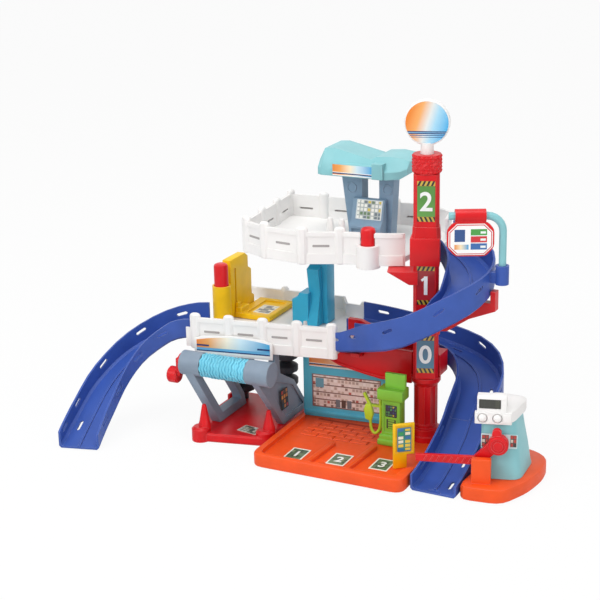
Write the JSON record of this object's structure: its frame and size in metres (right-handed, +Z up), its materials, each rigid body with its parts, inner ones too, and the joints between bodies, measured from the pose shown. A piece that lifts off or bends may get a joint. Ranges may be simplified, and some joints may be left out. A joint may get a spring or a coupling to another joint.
{
  "type": "toy garage",
  "caption": "Toy garage for small cars: a tower with two walled decks, spiral car tracks, a roller wash, a lift, a fuel pump and a gate booth.",
  "frame": {"origin": "on the floor, on the axis of the red tower", "axes": "+Z up, the open front faces -Y, the long ramp leaves to -X and the gate booth stands at +X"},
  "size_m": [0.6258, 0.3537, 0.462],
  "materials": {
    "red_plastic": "gloss",
    "orange_plastic": "gloss",
    "blue_plastic": "gloss",
    "white_plastic": "gloss",
    "yellow_plastic": "gloss",
    "teal_plastic": "gloss",
    "pale_teal_plastic": "gloss",
    "grey_plastic": "satin",
    "blue_grey_plastic": "satin",
    "sky_blue_plastic": "gloss",
    "green_plastic": "gloss",
    "lime_plastic": "gloss",
    "dark_plastic": "matte"
  },
  "bodies": {
    "frame": {"booth_base": "orange_plastic", "booth_body": "pale_teal_plastic", "booth_cap": "white_plastic", "booth_screen": "dark_plastic", "cabin_console": "blue_grey_plastic", "cabin_frame": "blue_grey_plastic", "cabin_roof": "pale_teal_plastic", "deck_1": "white_plastic", "deck_2": "white_plastic", "deck_pillar": "teal_plastic", "exit_ramp": "blue_plastic", "fuel_pump": "green_plastic", "left_arm": "red_plastic", "left_ramp": "blue_plastic", "lift_frame": "yellow_plastic", "lower_track": "blue_plastic", "parking_base": "orange_plastic", "plunger_tube": "yellow_plastic", "price_board": "yellow_plastic", "pump_nozzle": "lime_plastic", "right_arm": "red_plastic", "shop_wall": "teal_plastic", "sign_post": "pale_teal_plastic", "tower_lower": "red_plastic", "tower_pole": "red_plastic", "upper_track": "blue_plastic", "wash_base": "red_plastic", "wash_leg_left": "grey_plastic", "wash_leg_right": "grey_plastic", "wash_sign": "white_plastic"},
    "gate": {"gate_arm": "red_plastic"},
    "roller": {"wash_roller": "sky_blue_plastic", "wash_crank": "red_plastic"},
    "left_brush": {"brush_left": "dark_plastic"},
    "right_brush": {"brush_right": "dark_plastic"},
    "plunger": {"lift_plunger": "red_plastic"},
    "platform": {"lift_platform": "yellow_plastic"},
    "call_button": {"deck_button": "red_plastic"},
    "booth_left_button": {"booth_button_left": "white_plastic"},
    "booth_right_button": {"booth_button_right": "white_plastic"},
    "swing_sign": {"parking_sign": "red_plastic"},
    "top_sign": {"sign_knob": "red_plastic", "round_sign": "white_plastic"}
  },
  "joints": [
    {"name": "gate_lift", "type": "hinge", "parent": "frame", "child": "gate", "pos_m": [0.1345, -0.1035, 0.0655], "axis": [-0.2588, 0.9659, 0], "range_deg": [0, 70]},
    {"name": "roller_spin", "type": "hinge", "parent": "frame", "child": "roller", "pos_m": [-0.248, -0.088, 0.104], "axis": [1, 0, 0], "continuous": true},
    {"name": "left_brush_spin", "type": "hinge", "parent": "frame", "child": "left_brush", "pos_m": [-0.288, 0.032, 0.06], "axis": [0, 0, 1], "continuous": true},
    {"name": "right_brush_spin", "type": "hinge", "parent": "frame", "child": "right_brush", "pos_m": [-0.2195, 0.032, 0.06], "axis": [0, 0, 1], "continuous": true},
    {"name": "plunger_press", "type": "slide", "parent": "frame", "child": "plunger", "axis": [0, 0, -1], "range_m": [0, 0.022], "stiffness_N_per_m": 40, "springref_m": -0.01},
    {"name": "platform_rise", "type": "slide", "parent": "frame", "child": "platform", "axis": [0, 0, 1], "range_m": [0, 0.022]},
    {"name": "call_button_press", "type": "slide", "parent": "frame", "child": "call_button", "axis": [0, 0, -1], "range_m": [0, 0.006], "stiffness_N_per_m": 120, "springref_m": -0.002},
    {"name": "booth_left_button_press", "type": "slide", "parent": "frame", "child": "booth_left_button", "axis": [-0.2588, 0.9659, 0], "range_m": [0, 0.0015], "stiffness_N_per_m": 80, "springref_m": -0.0005},
    {"name": "booth_right_button_press", "type": "slide", "parent": "frame", "child": "booth_right_button", "axis": [-0.2588, 0.9659, 0], "range_m": [0, 0.0015], "stiffness_N_per_m": 80, "springref_m": -0.0005},
    {"name": "sign_swing", "type": "hinge", "parent": "frame", "child": "swing_sign", "pos_m": [0.0643, -0.01812, 0.3245], "axis": [0.9063, 0.4226, 0], "range_deg": [-35, 35]},
    {"name": "top_sign_turn", "type": "hinge", "parent": "frame", "child": "top_sign", "pos_m": [0, 0, 0.42], "axis": [0, 0, 1], "continuous": true}
  ],
  "couplings": [
    {"joint": "platform_rise", "follows": "plunger_press", "ratio": 1}
  ]
}
